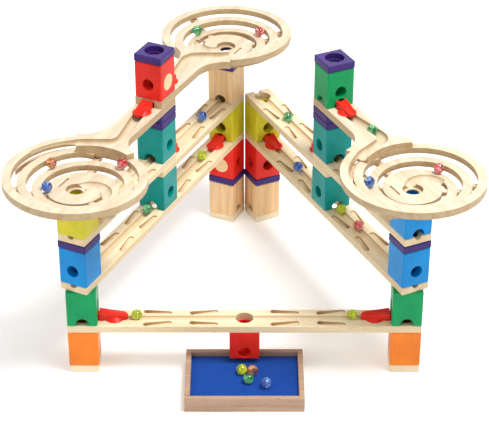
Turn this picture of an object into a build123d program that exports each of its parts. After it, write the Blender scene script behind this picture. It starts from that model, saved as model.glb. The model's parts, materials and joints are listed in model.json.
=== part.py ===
"""A wooden marble run: square tower blocks, grooved rails, three spiral tracks and a felt-lined tray.

All sizes are in millimetres, +Z is up and +Y points away from the side where the tray stands.
The origin is under the middle of the whole run, on the surface it stands on.
Heights are counted in layers: a rail, spacer, base or cap is one layer thick and a block is five.
"""

import os
from math import asin, atan, cos, degrees, radians, sin

from build123d import *

# ---------------------------------------------------------------- driving dimensions
BLOCK_WIDTH = 45.0
LAYER = 12.0
BLOCK_HEIGHT = 5 * LAYER
HOLE_PITCH = 241.0
MARBLE_RADIUS = 8.0
GAP = 0.3

# tower blocks
BORE_RADIUS = 11.0
SIDE_HOLE_RADIUS = 9.5
SIDE_HOLE_HEIGHT = 24.0
ARCH_WIDTH = 20.0
ARCH_HEIGHT = 13.0
BLOCK_CORNER = 2.2
BLOCK_EDGE = 1.2
CAP_BORE_RADIUS = 15.0
CAP_FLOOR = 3.0
CAP_OVERHANG = 0.6
PLUG_THICKNESS = 1.2
PLUG_RADIUS = 13.0

# rails; the wings are slanting side slots in mirrored pairs, each deeper at its first end
RAIL_BORE_RADIUS = 13.5
RAIL_GROOVE_RADIUS = 5.6
RAIL_GROOVE_LIFT = 0.6
RAIL_EDGE = 1.0
UNDERCUT_HEIGHT = 8.5
WING_LENGTH = 43.0
WING_WIDTH = 8.5
WING_MEAN_DEPTH = 3.8
WING_TILT = 5.0
WING_PIT_DEPTH = 7.0
WING_NEAR = 12.2
WING_FAR = 17.1
WING_STARTS = (90.0, 159.0)

# spiral tracks, seen from above with the arm along +X from the hub
TURN_STEP = 21.0
SLOT_WIDTH = 7.5
FIRST_TURN_RADIUS = 88.0
STRIP_THICKNESS = 9.0
STRIP_LIP = 2.0
TRACK_RISE = 3 * LAYER
DROP_PER_TURN = 10.5
ENTRY_ANGLE = 30.0
HUB_PLATE = 8.0
CHANNEL_RADIUS = 8.75
ARM_GROOVE_DEPTH = 9.0
HUB_CHANNEL_DEPTH = 6.0
ARM_ROOT = 40.0
ARM_STEP = 8.0
ARM_OUTER_FLARE = 150.0
ARM_OUTER_BEND = (117.0, 31.0)
ARM_INNER_FLARE = 132.0
ARM_INNER_BEND = (108.0, -26.5)
ARM_INNER_CORNER = (86.0, -48.0)
ARM_NECK = (93.0, -39.0)
ARM_GROOVE_BENDS = ((180.0, 0.0), (104.0, -14.0), (80.0, 37.0))
ARM_GROOVE_RADII = (60.0, 22.0, 40.0)
HUB_BORE_RADIUS = 15.0
HUB_FLOOR = 2.0
HUB_DROP_RADIUS = 9.5
BRIDGE_ANGLES = (8.0, 130.0, 240.0)
BRIDGE_WIDTH = 9.0
BRIDGE_THICKNESS = 7.0

# spouts that carry a marble out of a block, measured from the block's face
SPOUT_REACH = 38.0
FRONT_SPOUT_REACH = 45.0
SPOUT_START = 2.0
SPOUT_ROOT = 8.0
SPOUT_ROOT_WIDTH = 17.0
SPOUT_NOSE_WIDTH = 13.0
SPOUT_ROOT_TOP = 12.6
SPOUT_NOSE_TOP = 6.6
SPOUT_TONGUE_WIDTH = 14.0
SPOUT_TONGUE_TOP = 7.6
SPOUT_HOLLOW_LIFT = 6.2
SPOUT_SKIRT_RADIUS = 14.5
SPOUT_SKIRT_SHARE = 0.54

# tray
TRAY_WIDTH = 176.0
TRAY_DEPTH = 124.0
TRAY_HEIGHT = 2 * LAYER
TRAY_WALL = 8.0
TRAY_EDGE = 0.8
TRAY_FLOOR_BOTTOM = 6.0
TRAY_FLOOR_TOP = 14.0
FELT_THICKNESS = 2.0
TRAY_BACK_OVERLAP = 4.0
OUTLET_HEIGHT = 4 * LAYER
OUTLET_DROP = 36.0

# ---------------------------------------------------------------- plan of the towers
# The two arms lean in so far that the back towers meet corner to corner.
LEAN = asin((2 * HOLE_PITCH - 60.0) / (4 * HOLE_PITCH))
LEAN_DEG = degrees(LEAN)
RIM_RADIUS = FIRST_TURN_RADIUS + TURN_STEP - SLOT_WIDTH / 2
ARM_LENGTH = 2 * HOLE_PITCH * cos(LEAN)
FRONT_LINE = -(ARM_LENGTH + RIM_RADIUS - (TRAY_DEPTH - TRAY_BACK_OVERLAP)) / 2


def tower_place(side, step):
    """Centre of a tower: side is -1 left or +1 right, step 0 front, 1 middle, 2 back."""
    inward = step * HOLE_PITCH * sin(LEAN)
    return (side * (HOLE_PITCH - inward), FRONT_LINE + step * HOLE_PITCH * cos(LEAN))


def tower_plane(side, step, height, straight=False):
    """Workplane on a tower at a height; its +Y runs back along the arm, or straight back."""
    turn = 0.0 if straight else side * LEAN
    x, y = tower_place(side, step)
    return Plane(origin=(x, y, height), x_dir=(cos(turn), sin(turn), 0), z_dir=(0, 0, 1))


def turned(plane, angle, height=0.0):
    """The plane raised by height and turned about its own Z."""
    return Plane(plane.location * Location((0, 0, height), (0, 0, angle)))


def facing(plane, angle, height):
    """A plane standing upright on the axis, whose normal points along angle; its -X is up."""
    return Plane(plane.location * Location((0, 0, height), (0, 0, angle)) * Location((0, 0, 0), (0, 90, 0)))


def export(builder, name):
    builder.part.label = name
    export_step(builder.part, f"parts/{name}.step")


# directions on a tower block, in its own plane
END = -90.0
BACK = 90.0
RIGHT = 0.0
LEFT = 180.0


def inner(side):
    """Direction of the face that looks at the middle of the run."""
    return RIGHT if side < 0 else LEFT


# ---------------------------------------------------------------- tower blocks
def tower_block(plane, arches=(), holes=(), plugs=()):
    """A square block with a vertical bore, arched outlets at its foot and round side holes."""
    with BuildPart(plane) as block:
        Box(BLOCK_WIDTH, BLOCK_WIDTH, BLOCK_HEIGHT, align=(Align.CENTER, Align.CENTER, Align.MIN))
        fillet(block.edges().filter_by(Axis.Z), BLOCK_CORNER)
        chamfer(block.faces().sort_by(Axis.Z)[-1].edges(), BLOCK_EDGE)
        chamfer(block.faces().sort_by(Axis.Z)[0].edges(), BLOCK_EDGE)
        Cylinder(BORE_RADIUS, BLOCK_HEIGHT, align=(Align.CENTER, Align.CENTER, Align.MIN),
                 mode=Mode.SUBTRACT)
        for angle in arches:
            with BuildSketch(facing(plane, angle, 0)):
                with Locations((ARCH_WIDTH / 2 - ARCH_HEIGHT, 0)):
                    Circle(ARCH_WIDTH / 2)
                Rectangle(2 * (ARCH_HEIGHT - ARCH_WIDTH / 2), ARCH_WIDTH)
            extrude(amount=BLOCK_WIDTH / 2 + 1, mode=Mode.SUBTRACT)
        for angle in holes:
            with BuildSketch(facing(plane, angle, SIDE_HOLE_HEIGHT)):
                Circle(SIDE_HOLE_RADIUS)
            extrude(amount=BLOCK_WIDTH / 2 + 1, mode=Mode.SUBTRACT)
        for angle in plugs:
            with BuildSketch(facing(plane, angle, SIDE_HOLE_HEIGHT).offset(BLOCK_WIDTH / 2 - PLUG_THICKNESS)):
                Circle(PLUG_RADIUS)
            extrude(amount=PLUG_THICKNESS + 1, mode=Mode.SUBTRACT)
    return block


def flat_square(plane, bore, overhang=0.0):
    """One-layer square with a bore, used for the bases, the spacers and the caps."""
    width = BLOCK_WIDTH + 2 * overhang
    with BuildPart(plane) as square:
        Box(width, width, LAYER, align=(Align.CENTER, Align.CENTER, Align.MIN))
        fillet(square.edges().filter_by(Axis.Z), BLOCK_CORNER)
        chamfer(square.faces().sort_by(Axis.Z)[-1].edges(), BLOCK_EDGE)
        chamfer(square.faces().sort_by(Axis.Z)[0].edges(), BLOCK_EDGE)
        Cylinder(bore, LAYER, align=(Align.CENTER, Align.CENTER, Align.MIN), mode=Mode.SUBTRACT)
    return square


# ---------------------------------------------------------------- rails
def rail(plane, spans, undercuts=()):
    """A grooved rail from the plane's origin along +X, one hole at each pitch."""
    length = spans * HOLE_PITCH + BLOCK_WIDTH
    with BuildPart(plane) as bar:
        with Locations((-BLOCK_WIDTH / 2, 0, 0)):
            Box(length, BLOCK_WIDTH, LAYER, align=(Align.MIN, Align.CENTER, Align.MIN))
        fillet(bar.edges().filter_by(Axis.Z), BLOCK_CORNER)
        chamfer(bar.faces().sort_by(Axis.Z)[-1].edges(), RAIL_EDGE)
        chamfer(bar.faces().sort_by(Axis.Z)[0].edges(), RAIL_EDGE)
        with Locations((-BLOCK_WIDTH / 2 - 1, 0, LAYER + RAIL_GROOVE_LIFT)):
            Cylinder(RAIL_GROOVE_RADIUS, length + 2, rotation=(0, 90, 0),
                     align=(Align.CENTER, Align.CENTER, Align.MIN), mode=Mode.SUBTRACT)
        with Locations([(step * HOLE_PITCH, 0, 0) for step in range(spans + 1)]):
            Cylinder(RAIL_BORE_RADIUS, LAYER, align=(Align.CENTER, Align.CENTER, Align.MIN),
                     mode=Mode.SUBTRACT)
        for place in undercuts:
            with Locations((place * (HOLE_PITCH + BLOCK_WIDTH / 2 + 1), 0, 0)):
                direction = Align.MAX if place else Align.MIN
                Box(BLOCK_WIDTH / 2 + 1, ARCH_WIDTH, UNDERCUT_HEIGHT,
                    align=(direction, Align.CENTER, Align.MIN), mode=Mode.SUBTRACT)
        for start, opening in wing_places(spans):
            for edge in (-1, 1):
                spread = edge * opening * (WING_FAR - WING_NEAR) / 2
                middle = (start + WING_LENGTH / 2, edge * (WING_NEAR + WING_FAR) / 2)
                heading = degrees(asin(2 * spread / WING_LENGTH))
                floor = Location((*middle, LAYER - WING_MEAN_DEPTH), (0, -WING_TILT, heading))
                with BuildSketch(Plane(plane.location * floor)):
                    SlotOverall(WING_LENGTH, WING_WIDTH)
                extrude(amount=LAYER, mode=Mode.SUBTRACT)
                with Locations((start + WING_WIDTH / 2, middle[1] - spread, LAYER)):
                    Cylinder(WING_WIDTH / 2, WING_PIT_DEPTH, mode=Mode.SUBTRACT,
                             align=(Align.CENTER, Align.CENTER, Align.MAX))
    return bar


def wing_places(spans):
    """Start of each pair of wings, and +1 where the pair opens away from the start, else -1."""
    places = [(WING_STARTS[0], -1), (WING_STARTS[1], 1)]
    if spans > 1:
        places += [(2 * HOLE_PITCH - start - WING_LENGTH, -opening) for start, opening in places]
    return places


# ---------------------------------------------------------------- spiral tracks
# The slot is drawn with half-circles: odd ones about the hub, even ones about a second centre
# that lies half a turn step to the side, so each full turn comes in by one turn step.
SECOND_CENTRE = (0.0, -TURN_STEP / 2)
SLOT_ARCS = (
    ((0.0, 0.0), FIRST_TURN_RADIUS, ENTRY_ANGLE, 270.0),
    (SECOND_CENTRE, FIRST_TURN_RADIUS - TURN_STEP / 2, 270.0, 450.0),
    ((0.0, 0.0), FIRST_TURN_RADIUS - TURN_STEP, 450.0, 630.0),
    (SECOND_CENTRE, FIRST_TURN_RADIUS - 3 * TURN_STEP / 2, 630.0, 810.0),
    ((0.0, 0.0), FIRST_TURN_RADIUS - 2 * TURN_STEP, 810.0, 990.0),
)
STRIP_WIDTH = TURN_STEP - SLOT_WIDTH
ARRIVAL_RADIUS = FIRST_TURN_RADIUS - 3.5
STRIP_SECTION = (
    (0.0, 0.0),
    (STRIP_WIDTH, 0.0),
    (STRIP_WIDTH, -STRIP_THICKNESS - STRIP_LIP),
    (STRIP_WIDTH - 6.0, -STRIP_THICKNESS - STRIP_LIP),
    (0.0, -STRIP_THICKNESS),
)


def strip_top(angle):
    """Height of the strip's top face after the marble has gone round by angle."""
    return TRACK_RISE - DROP_PER_TURN * (angle - ENTRY_ANGLE) / 360


def polar(radius, angle):
    return (radius * cos(radians(angle)), radius * sin(radians(angle)))


def slot_radius(angle):
    """Distance of the slot's middle from the hub at a running angle."""
    for centre, radius, start, end in SLOT_ARCS:
        if start <= angle <= end:
            offset = centre[1] * sin(radians(angle))
            across = centre[1] * cos(radians(angle))
            return offset + (radius ** 2 - across ** 2) ** 0.5
    return 0.0


with BuildPart() as spiral:
    # the strip winds down from the arm to the hub in half-turns
    for centre, radius, start, end in SLOT_ARCS:
        foot = strip_top(end)
        rise = strip_top(start) - foot
        place = Location((centre[0], centre[1], foot), (0, 0, end))
        inside = radius + SLOT_WIDTH / 2
        path = Edge.make_helix(DROP_PER_TURN, rise, inside, lefthand=True).moved(place)
        section_plane = Plane(place * Location((inside, 0, 0), (90, 0, 0)))
        with BuildSketch(section_plane) as section:
            with BuildLine():
                Polyline(*STRIP_SECTION, close=True)
            make_face()
        sweep(sections=section.sketch, path=path, is_frenet=True)

    # the hub plate, which closes the slot on its inner side
    with BuildSketch():
        Circle(FIRST_TURN_RADIUS - 2 * TURN_STEP - SLOT_WIDTH / 2)
        with BuildSketch(mode=Mode.PRIVATE) as wide_half:
            with Locations(SECOND_CENTRE):
                Circle(FIRST_TURN_RADIUS - 3 * TURN_STEP / 2 - SLOT_WIDTH / 2)
            with Locations((-RIM_RADIUS / 2, 0)):
                Rectangle(RIM_RADIUS, 2 * RIM_RADIUS, mode=Mode.SUBTRACT)
        add(wide_half.sketch)
    extrude(amount=HUB_PLATE)

    # flat bridges under the slot tie one turn to the next
    for angle in BRIDGE_ANGLES:
        for turn in range(3):
            running = angle + 360 * (turn + (angle < ENTRY_ANGLE))
            lower_top = max(strip_top(running + 360), HUB_PLATE)
            if running > 990:
                continue
            radius = slot_radius(running)
            with BuildSketch(Plane.XY.offset(lower_top - 1 - BRIDGE_THICKNESS)):
                with Locations(Location((*polar(radius + 3, angle), 0), (0, 0, angle))):
                    Rectangle(22, BRIDGE_WIDTH)
            extrude(amount=BRIDGE_THICKNESS)

    # a crescent closes the slot where the marble arrives from the arm
    with BuildSketch(Plane.XY.offset(TRACK_RISE - LAYER - 9)):
        with BuildLine():
            outer_edge = FIRST_TURN_RADIUS + SLOT_WIDTH / 2 + 1
            inner_edge = FIRST_TURN_RADIUS - SLOT_WIDTH / 2 - 3
            ThreePointArc(polar(outer_edge, 10), polar(outer_edge, 55), polar(outer_edge, 100))
            ThreePointArc(polar(outer_edge, 100), polar(inner_edge + 2.5, 55), polar(inner_edge - 6, 10))
            Line(polar(inner_edge - 6, 10), polar(outer_edge, 10))
        make_face()
    extrude(amount=8)

    # the arm, one layer thick, lies on the outer turn and reaches the next tower
    with BuildSketch(Plane.XY.offset(TRACK_RISE - LAYER)):
        with BuildLine():
            tip = HOLE_PITCH + BLOCK_WIDTH / 2
            half = BLOCK_WIDTH / 2
            outer_corner = polar(RIM_RADIUS + ARM_STEP, ENTRY_ANGLE)
            Line((tip, -half), (tip, half))
            Line((tip, half), (ARM_OUTER_FLARE, half))
            ThreePointArc((ARM_OUTER_FLARE, half), ARM_OUTER_BEND, outer_corner)
            Line(outer_corner, (ARM_ROOT, half))
            Line((ARM_ROOT, half), (ARM_ROOT, -half))
            Line((ARM_ROOT, -half), ARM_INNER_CORNER)
            Line(ARM_INNER_CORNER, ARM_NECK)
            ThreePointArc(ARM_NECK, ARM_INNER_BEND, (ARM_INNER_FLARE, -half))
            Line((ARM_INNER_FLARE, -half), (tip, -half))
        make_face()
        with Locations(SECOND_CENTRE):
            Circle(FIRST_TURN_RADIUS - TURN_STEP / 2 + SLOT_WIDTH / 2 + 0.6, mode=Mode.SUBTRACT)
    extrude(amount=LAYER)

    # marble groove: along the arm, round the S-bend and onto the first turn
    with BuildLine(Plane.XY.offset(TRACK_RISE - ARM_GROOVE_DEPTH + CHANNEL_RADIUS)) as arm_line:
        FilletPolyline((HOLE_PITCH, 0), *ARM_GROOVE_BENDS, polar(ARRIVAL_RADIUS, 42),
                       radius=ARM_GROOVE_RADII)
        ThreePointArc(polar(ARRIVAL_RADIUS, 42), polar(ARRIVAL_RADIUS, 58), polar(ARRIVAL_RADIUS, 75))
    with BuildSketch(Plane(origin=(HOLE_PITCH, 0, TRACK_RISE - ARM_GROOVE_DEPTH + CHANNEL_RADIUS),
                           z_dir=(-1, 0, 0))):
        Circle(CHANNEL_RADIUS)
    sweep(path=arm_line.line, mode=Mode.SUBTRACT)
    with Locations((HOLE_PITCH, 0, TRACK_RISE)):
        Cylinder(RAIL_BORE_RADIUS, 2 * LAYER + 1, mode=Mode.SUBTRACT)
    with Locations((HOLE_PITCH, 0, TRACK_RISE - LAYER)):
        Box(BLOCK_WIDTH / 2 + 1, ARCH_WIDTH, UNDERCUT_HEIGHT,
            align=(Align.MIN, Align.CENTER, Align.MIN), mode=Mode.SUBTRACT)

    # the last channel turns into the hub hole; a short shallow slot decorates the hub plate
    last_bend = (FIRST_TURN_RADIUS - 2 * TURN_STEP) / 2
    with BuildLine(Plane.XY.offset(HUB_PLATE - HUB_CHANNEL_DEPTH + CHANNEL_RADIUS)) as channel_line:
        ThreePointArc((0, -2 * last_bend), (last_bend, -last_bend), (0, 0))
    with BuildSketch(Plane(origin=channel_line.line @ 0, z_dir=channel_line.line % 0)):
        Circle(CHANNEL_RADIUS)
    sweep(path=channel_line.line, mode=Mode.SUBTRACT)
    with Locations((0, 0, HUB_FLOOR)):
        Cylinder(HUB_BORE_RADIUS, 2 * HUB_PLATE, mode=Mode.SUBTRACT,
                 align=(Align.CENTER, Align.CENTER, Align.MIN))
    Cylinder(HUB_DROP_RADIUS, 3 * HUB_PLATE, mode=Mode.SUBTRACT)
    with BuildSketch(Plane.XY.offset(HUB_PLATE)):
        with Locations((8, 25)):
            SlotOverall(27, 3.5)
    extrude(amount=-2, mode=Mode.SUBTRACT)

    # the underside is flat where the inner turns come down to the hub's foot
    Box(3 * RIM_RADIUS, 3 * RIM_RADIUS, TRACK_RISE, mode=Mode.SUBTRACT,
        align=(Align.CENTER, Align.CENTER, Align.MAX))


def spiral_hub(side, step, height, arm_angle):
    x, y = tower_place(side, step)
    return Location((x, y, height), (0, 0, arm_angle))


# ---------------------------------------------------------------- spouts, marbles
def spout(plane, reach):
    """A spout from the foot of a block along +X; the plane's origin is on the block's face."""
    nose = SPOUT_NOSE_WIDTH / 2
    root = SPOUT_ROOT_WIDTH / 2
    slope = degrees(atan((SPOUT_ROOT_TOP - SPOUT_NOSE_TOP) / (reach - SPOUT_START)))
    with BuildPart(plane) as part:
        with BuildSketch(plane):
            with BuildLine():
                Line((SPOUT_START, root), (SPOUT_START, -root))
                Line((SPOUT_START, -root), (reach - nose, -nose))
                ThreePointArc((reach - nose, -nose), (reach, 0), (reach - nose, nose))
                Line((reach - nose, nose), (SPOUT_START, root))
            make_face()
        extrude(amount=SPOUT_ROOT_TOP)
        with Locations((SPOUT_START + 1, 0, 0)):
            Box(SPOUT_START + 1 + SPOUT_ROOT, SPOUT_TONGUE_WIDTH, SPOUT_TONGUE_TOP,
                align=(Align.MAX, Align.CENTER, Align.MIN))
        with Locations((SPOUT_SKIRT_SHARE * reach, 0, 0)):
            Cylinder(SPOUT_SKIRT_RADIUS, 0.6, align=(Align.CENTER, Align.CENTER, Align.MIN))
            with Locations((0, 0, 0.6)):
                Cone(SPOUT_SKIRT_RADIUS, root - 1, 5.0, align=(Align.CENTER, Align.CENTER, Align.MIN))
        # the top slopes down to the nose and is hollowed for the marble
        crest = plane.location * Location((SPOUT_START, 0, SPOUT_ROOT_TOP), (0, slope, 0))
        with BuildSketch(Plane(crest)):
            Rectangle(3 * reach, 3 * SPOUT_SKIRT_RADIUS)
        extrude(amount=SPOUT_ROOT_TOP, mode=Mode.SUBTRACT)
        hollow = crest * Location((-SPOUT_ROOT - 4, 0, SPOUT_HOLLOW_LIFT), (0, 90, 0))
        with BuildSketch(Plane(hollow)):
            Circle(CHANNEL_RADIUS)
        extrude(amount=2 * reach, mode=Mode.SUBTRACT)
    return part


def write_group(name, builders):
    """One node made of separate pieces of one kind."""
    group = Compound(label=name, children=[builder.part for builder in builders])
    export_step(group, f"parts/{name}.step")


def marble(place):
    with BuildPart() as ball:
        with Locations(place):
            Sphere(MARBLE_RADIUS)
    return ball


def on_rail(plane, along):
    """Centre of a marble that rides on the two edges of a rail's groove."""
    half_groove = (RAIL_GROOVE_RADIUS ** 2 - RAIL_GROOVE_LIFT ** 2) ** 0.5
    height = LAYER + (MARBLE_RADIUS ** 2 - half_groove ** 2) ** 0.5 + GAP
    return (plane.location * Location((along, 0, height))).position


def on_spiral(hub, angle):
    """Centre of a marble that runs against the outer wall of a spiral's slot."""
    rest_height = max(strip_top(angle + 360), HUB_PLATE)
    radius = slot_radius(angle) + SLOT_WIDTH / 2 - MARBLE_RADIUS - GAP
    x, y = polar(radius, angle)
    return (hub * Location((x, y, rest_height + MARBLE_RADIUS + GAP))).position


# ---------------------------------------------------------------- the assembly
os.makedirs("parts", exist_ok=True)

# heights of the layers that all towers share
FIRST_BLOCK = LAYER
FRONT_RAIL = FIRST_BLOCK + BLOCK_HEIGHT
SECOND_BLOCK = FRONT_RAIL + LAYER
LOWER_RAIL = SECOND_BLOCK + BLOCK_HEIGHT
THIRD_BLOCK = LOWER_RAIL + LAYER
UPPER_RAIL = THIRD_BLOCK + BLOCK_HEIGHT
UPPER_FRONT_RAIL = UPPER_RAIL + LAYER
FOURTH_BLOCK = UPPER_FRONT_RAIL + LAYER
FRONT_TOP = FOURTH_BLOCK + BLOCK_HEIGHT
BACK_BLOCK = UPPER_RAIL + LAYER
BACK_TOP = BACK_BLOCK + BLOCK_HEIGHT + 2 * LAYER

# the pieces that lift off rest a hair above what they stand on
FRONT_SPIRAL = FRONT_TOP + GAP
FRONT_ARM_TOP = FRONT_SPIRAL + TRACK_RISE
BACK_SPIRAL = BACK_TOP + 2 * GAP
BACK_ARM_TOP = BACK_SPIRAL + TRACK_RISE
LEFT_TOP_BLOCK = BACK_ARM_TOP + GAP
RIGHT_TOP_BLOCK = FRONT_ARM_TOP + GAP

# front towers: the two lower blocks face straight ahead, the others follow the arm
for side, word in ((-1, "left"), (1, "right")):
    green_block = tower_block(tower_plane(side, 0, SECOND_BLOCK, True), arches=(END, inner(side)),
                              holes=(inner(side),))
    export(green_block, f"{word}_front_green_block")
    blue_block = tower_block(tower_plane(side, 0, THIRD_BLOCK), arches=(BACK,), holes=(END,))
    export(blue_block, f"{word}_front_blue_block")
export(tower_block(tower_plane(-1, 0, FOURTH_BLOCK), arches=(BACK,)), "left_front_yellow_block")
export(tower_block(tower_plane(1, 0, FOURTH_BLOCK), arches=(END, BACK)), "right_front_upper_blue_block")
write_group("front_orange_blocks",
            [tower_block(tower_plane(side, 0, FIRST_BLOCK, True)) for side in (-1, 1)])

# middle towers stand on the middle of the lower rails
for side, word in ((-1, "left"), (1, "right")):
    lower_teal = tower_block(tower_plane(side, 1, THIRD_BLOCK), arches=(END, BACK), holes=(inner(side),))
    upper_teal = tower_block(tower_plane(side, 1, FOURTH_BLOCK), arches=(END,), holes=(inner(side),))
    export(lower_teal, f"{word}_middle_lower_teal_block")
    export(upper_teal, f"{word}_middle_upper_teal_block")
left_top_plane = tower_plane(-1, 1, LEFT_TOP_BLOCK)
right_top_plane = tower_plane(1, 1, RIGHT_TOP_BLOCK)
export(tower_block(left_top_plane, arches=(BACK,), holes=(END,), plugs=(RIGHT,)),
       "left_middle_red_block")
export(tower_block(right_top_plane, arches=(END, LEFT), holes=(END,)), "right_middle_green_block")

# back towers
write_group("back_foot_blocks", [tower_block(tower_plane(side, 2, FIRST_BLOCK), arches=(inner(side),))
                                 for side in (-1, 1)])
left_back_red_plane = tower_plane(-1, 2, SECOND_BLOCK)
export(tower_block(left_back_red_plane, holes=(RIGHT,), plugs=(END,)), "left_back_red_block")
export(tower_block(tower_plane(1, 2, SECOND_BLOCK), holes=(END, LEFT)), "right_back_red_block")
write_group("back_yellow_blocks",
            [tower_block(tower_plane(side, 2, THIRD_BLOCK), arches=(END,), holes=(END,))
             for side in (-1, 1)])
export(tower_block(tower_plane(-1, 2, BACK_BLOCK), arches=(END,)), "left_back_upper_natural_block")

# bases, spacers and caps
write_group("tower_bases", [flat_square(tower_plane(side, step, 0, step == 0), BORE_RADIUS)
                            for side in (-1, 1) for step in (0, 2)])
spacer_spots = {
    "front_spacers": [(side, 0, UPPER_RAIL) for side in (-1, 1)],
    "middle_spacers": [(side, 1, FRONT_TOP + row * LAYER) for side in (-1, 1) for row in (0, 1)],
    "back_spacers": [(side, 2, FRONT_RAIL) for side in (-1, 1)],
}
spacer_spots["back_spacers"] += [(-1, 2, BACK_BLOCK + BLOCK_HEIGHT + row * LAYER) for row in (0, 1)]
for name, spots in spacer_spots.items():
    write_group(name, [flat_square(tower_plane(*spot), BORE_RADIUS, CAP_OVERHANG) for spot in spots])
for side, word, foot in ((-1, "left", LEFT_TOP_BLOCK), (1, "right", RIGHT_TOP_BLOCK)):
    with flat_square(tower_plane(side, 1, foot + BLOCK_HEIGHT + GAP), BORE_RADIUS, CAP_OVERHANG) as cap:
        with Locations((0, 0, CAP_FLOOR)):
            Cylinder(CAP_BORE_RADIUS, LAYER, align=(Align.CENTER, Align.CENTER, Align.MIN),
                     mode=Mode.SUBTRACT)
    export(cap, f"{word}_inlet_cap")

# plugs that close an unused hole
for plane, angle, name in ((left_top_plane, RIGHT, "left_middle_plug"),
                           (left_back_red_plane, END, "left_back_plug")):
    with BuildPart() as plug:
        with BuildSketch(facing(plane, angle, SIDE_HOLE_HEIGHT).offset(BLOCK_WIDTH / 2 - PLUG_THICKNESS)):
            Circle(PLUG_RADIUS)
        extrude(amount=PLUG_THICKNESS)
    export(plug, name)

# rails
front_rail_plane = tower_plane(-1, 0, FRONT_RAIL, True)
export(rail(front_rail_plane, 2), "front_long_rail")
rail_planes = {}
for side, word in ((-1, "left"), (1, "right")):
    rail_planes[f"{word}_lower"] = turned(tower_plane(side, 0, LOWER_RAIL), BACK)
    rail_planes[f"{word}_upper_front"] = turned(tower_plane(side, 0, UPPER_FRONT_RAIL), BACK)
    rail_planes[f"{word}_upper_back"] = turned(tower_plane(side, 1, UPPER_RAIL), BACK)
    export(rail(rail_planes[f"{word}_lower"], 2), f"{word}_lower_long_rail")
    export(rail(rail_planes[f"{word}_upper_front"], 1, undercuts=(1,)), f"{word}_upper_front_rail")
    export(rail(rail_planes[f"{word}_upper_back"], 1), f"{word}_upper_back_rail")

# spiral tracks
hubs = {
    "left_spiral": spiral_hub(-1, 0, FRONT_SPIRAL, 90 - LEAN_DEG),
    "right_spiral": spiral_hub(1, 0, FRONT_SPIRAL, 90 + LEAN_DEG),
    "back_spiral": spiral_hub(-1, 2, BACK_SPIRAL, 270 - LEAN_DEG),
}
for name, hub in hubs.items():
    with BuildPart() as track:
        add(spiral.part.moved(hub))
    export(track, name)


# spouts
def spout_at(side, step, height, direction, straight=False):
    """A spout that leaves the given tower at a height in a direction of the tower's own plane."""
    plane = turned(tower_plane(side, step, height, straight), direction)
    reach = FRONT_SPOUT_REACH if straight else SPOUT_REACH
    return spout(Plane(plane.location * Location((BLOCK_WIDTH / 2, 0, 0))), reach)


rail_spouts = []
for side in (-1, 1):
    rail_spouts.append(spout_at(side, 0, SECOND_BLOCK, inner(side), True))
    rail_spouts.append(spout_at(side, 2, THIRD_BLOCK, END))
    rail_spouts.append(spout_at(side, 0, FOURTH_BLOCK, BACK))
    rail_spouts.append(spout_at(side, 1, UPPER_FRONT_RAIL, BACK))
write_group("rail_spouts", rail_spouts)
export(spout_at(-1, 1, FRONT_ARM_TOP + GAP, END), "left_spiral_spout")
export(spout_at(-1, 1, BACK_ARM_TOP + GAP, BACK), "back_spiral_spout")
export(spout_at(1, 1, FRONT_ARM_TOP + GAP, END), "right_spiral_spout")

# outlet block under the middle hole of the front rail
outlet_height = OUTLET_HEIGHT - 2 * GAP
outlet_plane = Plane((0, FRONT_LINE, FRONT_RAIL - outlet_height))
with BuildPart(outlet_plane) as outlet_block:
    Box(BLOCK_WIDTH, BLOCK_WIDTH, outlet_height, align=(Align.CENTER, Align.CENTER, Align.MIN))
    fillet(outlet_block.edges().filter_by(Axis.Z), BLOCK_CORNER)
    chamfer(outlet_block.faces().sort_by(Axis.Z)[-1].edges(), BLOCK_EDGE)
    chamfer(outlet_block.faces().sort_by(Axis.Z)[0].edges(), BLOCK_EDGE)
    with Locations((0, 0, outlet_height)):
        Cylinder(BORE_RADIUS, OUTLET_DROP + SIDE_HOLE_RADIUS, mode=Mode.SUBTRACT,
                 align=(Align.CENTER, Align.CENTER, Align.MAX))
    with BuildSketch(facing(outlet_plane, END, outlet_height - OUTLET_DROP)):
        Circle(SIDE_HOLE_RADIUS)
    extrude(amount=BLOCK_WIDTH, mode=Mode.SUBTRACT)
export(outlet_block, "outlet_block")

# tray
TRAY_MIDDLE = FRONT_LINE + TRAY_BACK_OVERLAP - TRAY_DEPTH / 2
tray_plane = Plane((0, TRAY_MIDDLE, 0))
tray_walls = []
for angle, run, reach in ((0, TRAY_DEPTH, TRAY_WIDTH), (90, TRAY_WIDTH, TRAY_DEPTH),
                          (180, TRAY_DEPTH, TRAY_WIDTH), (270, TRAY_WIDTH, TRAY_DEPTH)):
    with BuildPart() as wall:
        with BuildSketch(turned(tray_plane, angle)):
            with BuildLine():
                Polyline((reach / 2, -run / 2), (reach / 2, run / 2),
                         (reach / 2 - TRAY_WALL, run / 2 - TRAY_WALL),
                         (reach / 2 - TRAY_WALL, -run / 2 + TRAY_WALL), close=True)
            make_face()
        extrude(amount=TRAY_HEIGHT)
        chamfer(wall.faces().sort_by(Axis.Z)[-1].edges().sort_by(SortBy.LENGTH)[-2:], TRAY_EDGE)
    tray_walls.append(wall)
write_group("tray_walls", tray_walls)
well = (TRAY_WIDTH - 2 * TRAY_WALL, TRAY_DEPTH - 2 * TRAY_WALL)
with BuildPart(tray_plane.offset(TRAY_FLOOR_BOTTOM)) as tray_floor:
    Box(*well, TRAY_FLOOR_TOP - TRAY_FLOOR_BOTTOM, align=(Align.CENTER, Align.CENTER, Align.MIN))
export(tray_floor, "tray_floor")
with BuildPart(tray_plane.offset(TRAY_FLOOR_TOP)) as tray_felt:
    Box(*well, FELT_THICKNESS, align=(Align.CENTER, Align.CENTER, Align.MIN))
export(tray_felt, "tray_felt")

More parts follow.
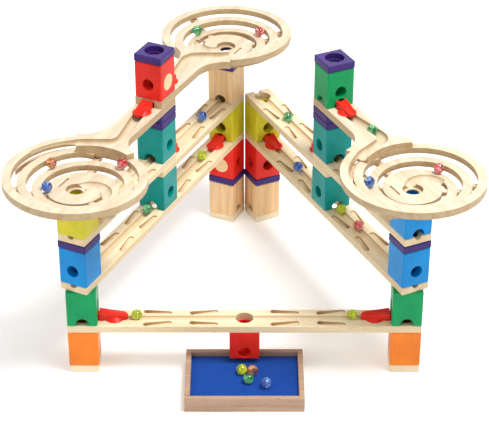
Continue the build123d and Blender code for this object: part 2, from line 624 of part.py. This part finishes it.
# marbles that roll in the straight grooves, measured from each rail's first hole
rail_marbles = {
    "front_left_marble": (front_rail_plane, 80.0),
    "front_right_marble": (front_rail_plane, 2 * HOLE_PITCH - 80.0),
    "left_lower_front_marble": (rail_planes["left_lower"], 205.0),
    "left_lower_back_marble": (rail_planes["left_lower"], 391.0),
    "left_upper_marble": (rail_planes["left_upper_back"], 394.0 - HOLE_PITCH),
    "right_lower_front_marble": (rail_planes["right_lower"], 151.0),
    "right_lower_middle_marble": (rail_planes["right_lower"], 205.0),
    "right_lower_back_marble": (rail_planes["right_lower"], 352.0),
    "right_upper_marble": (rail_planes["right_upper_back"], 391.0 - HOLE_PITCH),
}
for name, (plane, along) in rail_marbles.items():
    export(marble(on_rail(plane, along)), name)

# marbles on the spirals, by running angle from the arm; one of them rolls on each spiral
rolling = {"left_spiral": 424.0, "right_spiral": 427.0, "back_spiral": 504.0}
for name, angle in rolling.items():
    export(marble(on_spiral(hubs[name], angle)), f"{name}_rolling_marble")
arm_rest = hubs["right_spiral"] * Location((135, -8.3, TRACK_RISE - ARM_GROOVE_DEPTH + MARBLE_RADIUS + GAP))
write_group("left_spiral_marbles", [marble(on_spiral(hubs["left_spiral"], angle)) for angle in (330, 846)])
write_group("right_spiral_marbles", [marble(on_spiral(hubs["right_spiral"], 652)),
                                     marble(arm_rest.position)])
export(marble(on_spiral(hubs["back_spiral"], 616)), "back_spiral_marble")

# four marbles rest on the felt
felt_rest = TRAY_FLOOR_TOP + FELT_THICKNESS + MARBLE_RADIUS
tray_spots = ((-4, 10), (12, 8), (6, -12), (32, -23))
write_group("tray_marbles", [marble((x, TRAY_MIDDLE + y, felt_rest)) for x, y in tray_spots])
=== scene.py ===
"""A wooden marble run: painted and natural blocks, rails, spirals, glass marbles, felt tray."""

import json
from math import atan2, cos, pi, radians, sin

import bmesh
import bpy
from mathutils import Matrix, Vector


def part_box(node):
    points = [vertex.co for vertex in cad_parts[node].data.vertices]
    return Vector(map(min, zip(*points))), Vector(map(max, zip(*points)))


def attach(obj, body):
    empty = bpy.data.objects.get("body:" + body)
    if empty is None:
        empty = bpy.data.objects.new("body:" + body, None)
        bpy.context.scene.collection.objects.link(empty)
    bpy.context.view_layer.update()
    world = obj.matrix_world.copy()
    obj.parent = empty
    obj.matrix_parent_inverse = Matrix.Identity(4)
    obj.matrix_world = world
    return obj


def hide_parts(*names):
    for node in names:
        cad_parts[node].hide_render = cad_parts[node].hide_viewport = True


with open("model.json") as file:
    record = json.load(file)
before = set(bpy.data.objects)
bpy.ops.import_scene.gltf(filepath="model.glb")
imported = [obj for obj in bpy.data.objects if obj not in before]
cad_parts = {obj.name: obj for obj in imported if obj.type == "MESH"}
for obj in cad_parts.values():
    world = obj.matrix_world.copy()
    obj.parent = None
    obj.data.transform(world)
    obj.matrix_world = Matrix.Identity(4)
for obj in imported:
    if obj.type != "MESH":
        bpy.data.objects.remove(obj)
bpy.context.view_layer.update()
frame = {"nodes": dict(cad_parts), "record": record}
NODES = frame["nodes"]
BODY_OF = {node: body
           for body, nodes in frame["record"]["behaviour"]["bodies"].items()
           for node in nodes}

MARBLE_RADIUS = 0.008
SHELTER_SAMPLES = 6
# Grooves and slots narrower than this get painted shade, a tan darkening inside them.
GROOVE_REACH = 0.012
PAINT_DEPTH = 0.80
PAINT_GRAIN = 0.75
GLASS_RIPPLE = 0.93
VANE_PALENESS = 0.45
VANE_GLOW = 0.12
PLUG_AND_BLOCK_FLECK = 0.25
# Strength of the painted shade on upright faces of the rails and spirals.
RAIL_WALL_SHADE = 0.45
SPIRAL_WALL_SHADE = 1.0


# ------------------------------------------------------------------------------- node helpers
class Shader:
    """A material's node tree, with short calls for the few nodes that the materials share."""

    def __init__(self, name):
        self.material = bpy.data.materials.new(name)
        self.material.use_nodes = True
        self.tree = self.material.node_tree
        self.surface = self.tree.nodes["Principled BSDF"]

    def add(self, kind, **settings):
        node = self.tree.nodes.new(kind)
        for key, value in settings.items():
            setattr(node, key, value)
        return node

    def link(self, output, socket):
        self.tree.links.new(output, socket)

    def constant(self, **values):
        for key, value in values.items():
            self.surface.inputs[key.replace("_", " ")].default_value = value

    def place(self, turn=0.0, scale=(1, 1, 1), upright=False):
        """Object coordinates, turned so that the grain runs along X, then scaled."""
        spot = self.add("ShaderNodeTexCoord").outputs["Object"]
        turned = self.add("ShaderNodeMapping", vector_type="TEXTURE")
        turned.inputs["Rotation"].default_value = (0, -pi / 2, turn) if upright else (0, 0, turn)
        self.link(spot, turned.inputs["Vector"])
        scaled = self.add("ShaderNodeMapping")
        scaled.inputs["Scale"].default_value = scale
        self.link(turned.outputs["Vector"], scaled.inputs["Vector"])
        return scaled.outputs["Vector"]

    def noise(self, vector, scale, detail=4.0, roughness=0.5, distortion=0.0):
        node = self.add("ShaderNodeTexNoise")
        node.inputs["Scale"].default_value = scale
        node.inputs["Detail"].default_value = detail
        node.inputs["Roughness"].default_value = roughness
        node.inputs["Distortion"].default_value = distortion
        self.link(vector, node.inputs["Vector"])
        return node.outputs["Fac"]

    def ramp(self, factor, *stops):
        """Colours or greys at rising places of a factor."""
        node = self.add("ShaderNodeValToRGB")
        elements = node.color_ramp.elements
        while len(elements) < len(stops):
            elements.new(0.5)
        for element, (place, colour) in zip(elements, stops):
            element.position = place
            element.color = (*(colour if isinstance(colour, tuple) else (colour,) * 3), 1)
        self.link(factor, node.inputs["Fac"])
        return node.outputs["Color"]

    def mix(self, factor, first, second, blend="MIX"):
        node = self.add("ShaderNodeMix", data_type="RGBA", blend_type=blend)
        for value, socket in ((factor, "Factor"), (first, "A"), (second, "B")):
            target = [s for s in node.inputs if s.name == socket and s.enabled][0]
            if isinstance(value, (int, float)):
                target.default_value = value
            elif isinstance(value, tuple):
                target.default_value = (*value, 1)
            else:
                self.link(value, target)
        return [s for s in node.outputs if s.enabled][0]

    def shelter(self, reach):
        """1 on open faces, falling towards 0 in grooves and slots narrower than the reach."""
        node = self.add("ShaderNodeAmbientOcclusion", samples=SHELTER_SAMPLES, only_local=True)
        node.inputs["Distance"].default_value = reach
        return node.outputs["AO"]

    def rise(self):
        """1 on level faces and 0 on upright ones."""
        split = self.add("ShaderNodeSeparateXYZ")
        self.link(self.add("ShaderNodeNewGeometry").outputs["Normal"], split.inputs["Vector"])
        size = self.add("ShaderNodeMath", operation="ABSOLUTE")
        self.link(split.outputs["Z"], size.inputs[0])
        return size.outputs["Value"]

    def bump(self, height, strength, distance):
        node = self.add("ShaderNodeBump")
        node.inputs["Strength"].default_value = strength
        node.inputs["Distance"].default_value = distance
        self.link(height, node.inputs["Height"])
        self.link(node.outputs["Normal"], self.surface.inputs["Normal"])


def dress(node, material):
    """Gives a carried-over piece its material."""
    slots = NODES[node].data.materials
    slots.clear()
    slots.append(material)


# ------------------------------------------------------------------------------- materials
# Tan painted shade inside grooves and slots.
GROOVE_SHADE_TAN = (0.66, 0.46, 0.27)
# Tan painted shade on upright faces.
WALL_SHADE_TAN = (0.74, 0.64, 0.50)
GROOVE_SHADE_WEIGHT = 0.9


def lacquer(name, colour, turn):
    """Semi-gloss paint on beech: the grain still shows faintly, upright in the blocks."""
    shader = Shader(name)
    along = shader.place(turn, (6, 60, 60), upright=True)
    grain = shader.noise(along, 9, 5, 0.6)
    cloud = shader.noise(shader.place(turn, (14, 14, 14)), 1.6, 2)
    deep = tuple(channel * PAINT_DEPTH for channel in colour)
    tone = shader.ramp(cloud, (0.3, deep), (0.7, colour))
    streak = shader.ramp(grain, (0.25, 0.88), (0.6, 1.0))
    shader.link(shader.mix(PAINT_GRAIN, tone, streak, "MULTIPLY"),
                shader.surface.inputs["Base Color"])
    shader.link(shader.ramp(grain, (0.2, 0.46), (0.8, 0.34)), shader.surface.inputs["Roughness"])
    shader.constant(Coat_Weight=0.06, Coat_Roughness=0.25, Specular_IOR_Level=0.18)
    shader.bump(grain, 0.10, 0.0004)
    return shader.material


def wood(name, light, dark, turn=0.0, upright=False, fleck=0.5, gloss=0.45, walls=0.0):
    """Lacquered solid wood with soft growth bands, fine fibres and short dark flecks; painted shade
    turns it tan in grooves and slots, and on upright faces by the walls weight.
    """
    shader = Shader(name)
    bands = shader.noise(shader.place(turn, (2.2, 34, 34), upright), 2.6, 3, 0.45, 0.6)
    fibres = shader.noise(shader.place(turn, (16, 420, 420), upright), 2.0, 4, 0.65)
    flecks = shader.noise(shader.place(turn, (110, 900, 900), upright), 1.0, 2, 0.5)
    middle = tuple((a + b) / 2 for a, b in zip(light, dark))
    tone = shader.ramp(bands, (0.30, dark), (0.47, middle), (0.62, light))
    tone = shader.mix(0.55, tone, shader.ramp(fibres, (0.30, 0.84), (0.62, 1.0)), "MULTIPLY")
    pores = shader.ramp(flecks, (0.30, 0.62), (0.40, 1.0))
    tone = shader.mix(fleck, tone, pores, "MULTIPLY")
    # Painted shade: tan darkening in grooves and narrow slots, from an occlusion mask.
    groove_shade = shader.ramp(shader.shelter(GROOVE_REACH), (0.25, GROOVE_SHADE_TAN), (0.85, (1.0, 1.0, 1.0)))
    tone = shader.mix(GROOVE_SHADE_WEIGHT, tone, groove_shade, "MULTIPLY")
    # Painted shade: upright faces darker tan than level ones, standing in for light from above.
    if walls:
        wall_shade_tone = shader.ramp(shader.rise(), (0.35, WALL_SHADE_TAN), (0.75, (1.0, 1.0, 1.0)))
        tone = shader.mix(walls, tone, wall_shade_tone, "MULTIPLY")
    shader.link(tone, shader.surface.inputs["Base Color"])
    shader.link(shader.ramp(fibres, (0.3, gloss + 0.1), (0.7, gloss)),
                shader.surface.inputs["Roughness"])
    shader.constant(Coat_Weight=0.06, Coat_Roughness=0.3, Specular_IOR_Level=0.25)
    shader.bump(fibres, 0.14, 0.0004)
    return shader.material


def felt(name, light, dark):
    """Short matted fibres with a soft sheen."""
    shader = Shader(name)
    fibres = shader.noise(shader.place(0, (1, 1, 1)), 900, 6, 0.75, 1.5)
    patches = shader.noise(shader.place(0.4, (1, 1, 1)), 55, 3)
    tone = shader.mix(shader.ramp(fibres, (0.35, 0.0), (0.65, 1.0)), dark, light)
    tone = shader.mix(0.35, tone, shader.ramp(patches, (0.3, 0.72), (0.7, 1.0)), "MULTIPLY")
    shader.link(tone, shader.surface.inputs["Base Color"])
    shader.constant(Roughness=0.95, Sheen_Weight=0.5, Sheen_Roughness=0.45, Specular_IOR_Level=0.1)
    shader.surface.inputs["Sheen Tint"].default_value = (0.25, 0.40, 0.95, 1)
    shader.bump(fibres, 0.6, 0.0009)
    return shader.material


def glass(name, tint):
    """Clear marble glass with a tint and a few faint ripples in its skin."""
    shader = Shader(name)
    ripple = shader.noise(shader.place(0, (1, 1, 1)), 130, 2)
    shader.link(shader.ramp(ripple, (0.0, tint), (1.0, tuple(GLASS_RIPPLE * c for c in tint))),
                shader.surface.inputs["Base Color"])
    shader.constant(Roughness=0.0, IOR=1.5, Transmission_Weight=1.0)
    shader.bump(ripple, 0.03, 0.0003)
    return shader.material


def vane_colour(name, colour):
    """Opaque coloured glass of the vanes inside a marble, streaked along them, with a faint painted
    glow.
    """
    shader = Shader(name)
    streak = shader.noise(shader.place(0.7, (300, 120, 120)), 1.0, 3, 0.6)
    pale = tuple((1 - VANE_PALENESS) * c + VANE_PALENESS for c in colour)
    shader.link(shader.ramp(streak, (0.42, colour), (0.68, pale)),
                shader.surface.inputs["Base Color"])
    # Painted light: the vanes glow faintly, though they are no lamp.
    glow, pale_glow = (tuple(VANE_GLOW * c for c in tone) for tone in (colour, pale))
    shader.link(shader.ramp(streak, (0.42, glow), (0.68, pale_glow)),
                shader.surface.inputs["Emission Color"])
    shader.constant(Roughness=0.25, Emission_Strength=1.0)
    return shader.material


def plan_middle(node):
    """Middle of a piece seen from above."""
    low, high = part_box(node)
    return Vector(((low[0] + high[0]) / 2, (low[1] + high[1]) / 2, 0))


# The arms lean in at the same angle on both sides; grain and paint streaks follow each piece.
LEFT_ARM = plan_middle("left_middle_lower_teal_block") - plan_middle("left_front_blue_block")
ARM_TURN = atan2(LEFT_ARM.y, LEFT_ARM.x)

RED = (0.82, 0.026, 0.014)
PURPLE = (0.052, 0.023, 0.175)
TEAL = (0.0, 0.310, 0.290)
BLUE = (0.0, 0.275, 0.700)
YELLOW = (0.70, 0.620, 0.030)
GREEN = (0.0, 0.345, 0.105)
ORANGE = (0.93, 0.235, 0.022)
BIRCH_LIGHT = (0.72, 0.615, 0.455)
BIRCH_DARK = (0.61, 0.485, 0.325)
RAIL_LIGHT = (0.88, 0.745, 0.515)
RAIL_DARK = (0.79, 0.630, 0.400)
BEECH_LIGHT = (0.89, 0.610, 0.335)
BEECH_DARK = (0.73, 0.460, 0.225)
TRAY_LIGHT = (0.50, 0.330, 0.225)
TRAY_DARK = (0.38, 0.235, 0.150)

PAINTS = {
    "red": (RED, ("_red_", "outlet", "spout")),
    "purple": (PURPLE, ("spacer", "cap")),
    "teal": (TEAL, ("teal",)),
    "blue": (BLUE, ("blue",)),
    "yellow": (YELLOW, ("yellow",)),
    "green": (GREEN, ("green",)),
    "orange": (ORANGE, ("orange",)),
}


def dress_painted_pieces():
    for colour_name, (colour, words) in PAINTS.items():
        for side, turn in (("left", ARM_TURN), ("right", -ARM_TURN)):
            paint = lacquer(f"{colour_name}_lacquer_{side}", colour, turn)
            for node in NODES:
                on_side = node.startswith("right") == (side == "right")
                if on_side and any(word in node for word in words):
                    dress(node, paint)


def dress_wooden_pieces():
    turns = {"front": 0.0, "left": ARM_TURN, "right": pi - ARM_TURN, "back": ARM_TURN}
    for node in NODES:
        if node.endswith(("_rail", "_spiral")):
            turn = turns[node.split("_")[0]]
            if node.endswith("_rail"):
                dress(node, wood(f"birch_{node}", RAIL_LIGHT, RAIL_DARK, turn, walls=RAIL_WALL_SHADE))
            else:
                dress(node, wood(f"birch_{node}", BIRCH_LIGHT, BIRCH_DARK, turn, walls=SPIRAL_WALL_SHADE))
    dress("tower_bases", wood("birch_bases", RAIL_LIGHT, RAIL_DARK, 0.0))
    for node in ("left_back_upper_natural_block", "back_foot_blocks"):
        dress(node, wood(f"beech_{node}", BEECH_LIGHT, BEECH_DARK, ARM_TURN, upright=True,
                         fleck=PLUG_AND_BLOCK_FLECK))
    for node in ("left_middle_plug", "left_back_plug"):
        dress(node, wood(f"beech_{node}", BEECH_LIGHT, BEECH_LIGHT, ARM_TURN, upright=True,
                         fleck=PLUG_AND_BLOCK_FLECK))
    dress("tray_walls", wood("tray_wood", TRAY_LIGHT, TRAY_DARK, 0.0, fleck=0.8, gloss=0.5))
    dress("tray_floor", wood("tray_board", TRAY_LIGHT, TRAY_DARK, pi / 2))
    dress("tray_felt", felt("blue_felt", (0.010, 0.085, 0.420), (0.003, 0.030, 0.230)))


# ------------------------------------------------------------------------------- marbles
# glass tint, then the colours of the vanes inside
MARBLE_KINDS = {
    "lime": ((0.80, 0.88, 0.16), ((0.62, 0.72, 0.02), (0.80, 0.82, 0.10))),
    "red": ((0.97, 0.72, 0.72), ((0.75, 0.006, 0.012), (0.88, 0.50, 0.45))),
    "blue": ((0.45, 0.68, 0.97), ((0.004, 0.035, 0.40), (0.25, 0.50, 0.85))),
    "green": ((0.50, 0.92, 0.64), ((0.0, 0.28, 0.045), (0.35, 0.75, 0.45))),
    "amber": ((0.98, 0.80, 0.58), ((0.55, 0.11, 0.010), (0.85, 0.45, 0.18))),
}
MARBLE_COLOURS = {
    "front_left_marble": ("lime",),
    "front_right_marble": ("lime",),
    "left_lower_front_marble": ("green",),
    "left_lower_back_marble": ("lime",),
    "left_upper_marble": ("blue",),
    "right_lower_front_marble": ("red",),
    "right_lower_middle_marble": ("lime",),
    "right_lower_back_marble": ("blue",),
    "right_upper_marble": ("green",),
    "left_spiral_rolling_marble": ("amber",),
    "right_spiral_rolling_marble": ("blue",),
    "back_spiral_rolling_marble": ("red",),
    "back_spiral_marble": ("green",),
    "left_spiral_marbles": ("blue", "red"),
    "right_spiral_marbles": ("green", "red"),
    "tray_marbles": ("lime", "green", "amber", "blue"),
}
SKIN_RINGS = 32
SKIN_SECTORS = 64
VANE_STEPS = 18
VANE_COLUMNS = 4
VANES = 4
VANE_REACH = 0.86
VANE_TWIST = 1.5
VANE_THICKNESS = 0.00028


def marble_centres(node):
    """Centres of the separate balls in a node, from left to right."""
    islands = bmesh.new()
    islands.from_mesh(NODES[node].data)
    bmesh.ops.remove_doubles(islands, verts=islands.verts, dist=0.00001)
    waiting = set(islands.verts)
    centres = []
    while waiting:
        island = []
        edge_of_search = [waiting.pop()]
        while edge_of_search:
            vertex = edge_of_search.pop()
            island.append(vertex.co.copy())
            near = {edge.other_vert(vertex) for edge in vertex.link_edges} & waiting
            waiting -= near
            edge_of_search.extend(near)
        low = [min(point[axis] for point in island) for axis in range(3)]
        high = [max(point[axis] for point in island) for axis in range(3)]
        centres.append(Vector([(a + b) / 2 for a, b in zip(low, high)]))
    islands.free()
    return sorted(centres, key=lambda centre: (round(centre.x, 4), centre.y))


def add_skin(mesh, centre, slot):
    """The ball's glass surface."""
    start = len(mesh.verts)
    bmesh.ops.create_uvsphere(mesh, u_segments=SKIN_SECTORS, v_segments=SKIN_RINGS,
                              radius=MARBLE_RADIUS, matrix=Matrix.Translation(centre))
    mesh.verts.ensure_lookup_table()
    for vertex in mesh.verts[start:]:
        for face in vertex.link_faces:
            face.material_index = slot
            face.smooth = True


def add_vane(mesh, centre, spin, heading, slot):
    """One twisted blade from the marble's axis out to near its skin, tapered to both poles."""
    for side in (-1, 1):
        grid = []
        for step in range(VANE_STEPS + 1):
            along = -1 + 2 * step / VANE_STEPS
            reach = VANE_REACH * MARBLE_RADIUS * (1 - along ** 2) ** 0.5
            angle = heading + VANE_TWIST * along
            row = []
            for part in range(VANE_COLUMNS + 1):
                out = reach * part / VANE_COLUMNS
                thick = side * VANE_THICKNESS * (1 - (part / VANE_COLUMNS) ** 2) * (1 - along ** 2)
                point = Vector((out * cos(angle) - thick * sin(angle),
                                out * sin(angle) + thick * cos(angle),
                                along * VANE_REACH * MARBLE_RADIUS))
                row.append(mesh.verts.new(centre + spin @ point))
            grid.append(row)
        for lower, upper in zip(grid, grid[1:]):
            for a, b, c, d in zip(lower, lower[1:], upper[1:], upper):
                face = mesh.faces.new((a, b, c, d) if side > 0 else (d, c, b, a))
                face.material_index = slot
                face.smooth = True


def make_marbles():
    looks = {kind: [glass(f"{kind}_glass", tint)] + [vane_colour(f"{kind}_vane_{n}", colour)
                                                   for n, colour in enumerate(vanes)]
             for kind, (tint, vanes) in MARBLE_KINDS.items()}
    for index, (node, kinds) in enumerate(MARBLE_COLOURS.items()):
        mesh = bmesh.new()
        materials = []
        for ball, (centre, kind) in enumerate(zip(marble_centres(node), kinds)):
            first = len(materials)
            materials += looks[kind]
            add_skin(mesh, centre, first)
            tilt = 0.6 + 0.37 * ((index * 5 + ball * 3) % 7)
            spin = Matrix.Rotation(1.3 * index + ball, 3, "Z") @ Matrix.Rotation(tilt, 3, "X")
            for blade in range(VANES):
                add_vane(mesh, centre, spin, blade * 2 * pi / VANES, first + 1 + blade % 2)
        data = bpy.data.meshes.new(f"glass_{node}")
        mesh.to_mesh(data)
        mesh.free()
        for material in materials:
            data.materials.append(material)
        piece = bpy.data.objects.new(f"glass_{node}", data)
        bpy.context.scene.collection.objects.link(piece)
        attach(piece, BODY_OF[node])
        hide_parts(node)


# ------------------------------------------------------------------------------- room
FLOOR_REACH = 6.0
WORLD_STRENGTH = 0.64
LIGHT_TARGET = (0, 0, 0.25)


def make_floor():
    """A plain pale floor that runs far out of view."""
    size = FLOOR_REACH
    data = bpy.data.meshes.new("floor")
    data.from_pydata([(-size, -size, 0), (size, -size, 0), (size, size, 0), (-size, size, 0)],
                     [], [(0, 1, 2, 3)])
    floor = bpy.data.objects.new("floor", data)
    bpy.context.scene.collection.objects.link(floor)
    shader = Shader("floor")
    shader.constant(Base_Color=(0.92, 0.92, 0.92, 1), Roughness=0.7, Specular_IOR_Level=0.1,
                    Emission_Color=(1, 1, 1, 1), Emission_Strength=0.14)
    data.materials.append(shader.material)


def add_softbox(name, place, target, size, power):
    light = bpy.data.lights.new(name, "AREA")
    light.shape = "DISK"
    light.size = size
    light.energy = power
    lamp = bpy.data.objects.new(name, light)
    lamp.location = place
    lamp.rotation_euler = (Vector(target) - Vector(place)).to_track_quat("-Z", "Y").to_euler()
    bpy.context.scene.collection.objects.link(lamp)


def make_light():
    world = bpy.data.worlds.new("studio")
    world.use_nodes = True
    world.node_tree.nodes["Background"].inputs["Color"].default_value = (1, 1, 1, 1)
    world.node_tree.nodes["Background"].inputs["Strength"].default_value = WORLD_STRENGTH
    bpy.context.scene.world = world
    add_softbox("key", (0.85, -0.55, 2.7), LIGHT_TARGET, 1.1, 72)
    add_softbox("fill", (-2.2, -1.6, 1.8), LIGHT_TARGET, 1.8, 12)
    add_softbox("back", (0.3, 2.4, 2.2), LIGHT_TARGET, 2.0, 12)


FRONT_LINE = plan_middle("front_long_rail").y
CAMERA_DISTANCE = 2.247
CAMERA_HEIGHT = 1.653
CAMERA_PITCH = 31.71
CAMERA_LENS = 134.7
SENSOR_WIDTH = 36.0
VIEW_END = 30


def make_camera():
    """In line with the middle of the front rail, looking down along +Y."""
    data = bpy.data.cameras.new("camera")
    data.lens = CAMERA_LENS
    data.sensor_width = SENSOR_WIDTH
    data.clip_end = VIEW_END
    camera = bpy.data.objects.new("camera", data)
    camera.location = (0, FRONT_LINE - CAMERA_DISTANCE, CAMERA_HEIGHT)
    camera.rotation_euler = (radians(90 - CAMERA_PITCH), 0, 0)
    bpy.context.scene.collection.objects.link(camera)
    bpy.context.scene.camera = camera


scene = bpy.context.scene
scene.view_settings.view_transform = "Standard"
make_camera()
dress_painted_pieces()
dress_wooden_pieces()
make_marbles()
make_floor()
make_light()
